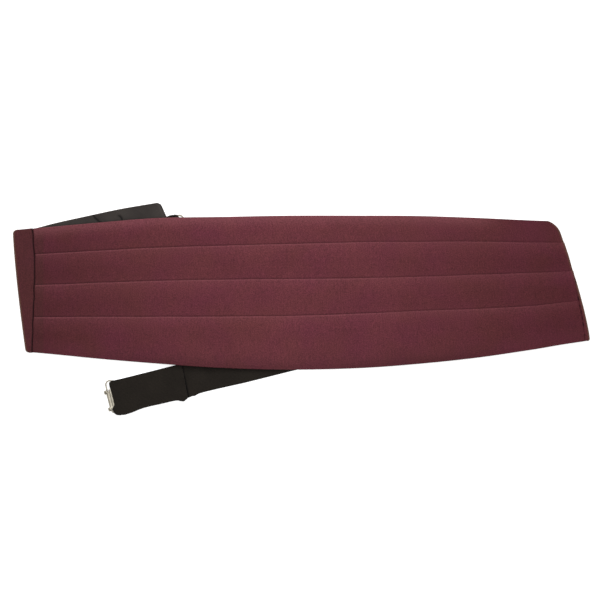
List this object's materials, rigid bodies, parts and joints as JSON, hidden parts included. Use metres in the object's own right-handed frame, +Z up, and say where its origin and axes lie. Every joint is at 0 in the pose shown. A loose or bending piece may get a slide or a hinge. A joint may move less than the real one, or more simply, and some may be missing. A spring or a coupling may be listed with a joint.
{
  "type": "cummerbund",
  "caption": "Pleated cummerbund lying flat, its ends folded back under the front, with a black lining, elastic strap, hook clasp and wire eye.",
  "frame": {"origin": "middle of the underside of the whole object's box, on the surface it lies on", "axes": "+X along the front from its left end to its right, +Y from the front's bottom edge to its top edge, +Z up out of the pleated face"},
  "size_m": [0.485, 0.1764, 0.0093],
  "materials": {
    "burgundy_cloth": "fine plain-woven satin-backed cloth, soft sheen, burgundy",
    "black_lining": "thin smooth black lining cloth, slightly creased",
    "black_elastic": "matt black woven elastic",
    "clasp_metal": "plated wire and stamped metal, softly polished"
  },
  "bodies": {
    "root": {"front_panel": "burgundy_cloth", "left_end_piece": "burgundy_cloth", "right_end_piece": "burgundy_cloth", "back_lining": "black_lining", "left_end_lining": "black_lining", "right_end_lining": "black_lining", "left_strap_tab": "black_elastic", "elastic_strap": "black_elastic", "eye_loop": "clasp_metal", "clasp_loop": "clasp_metal", "hook_plate": "clasp_metal"}
  },
  "joints": []
}
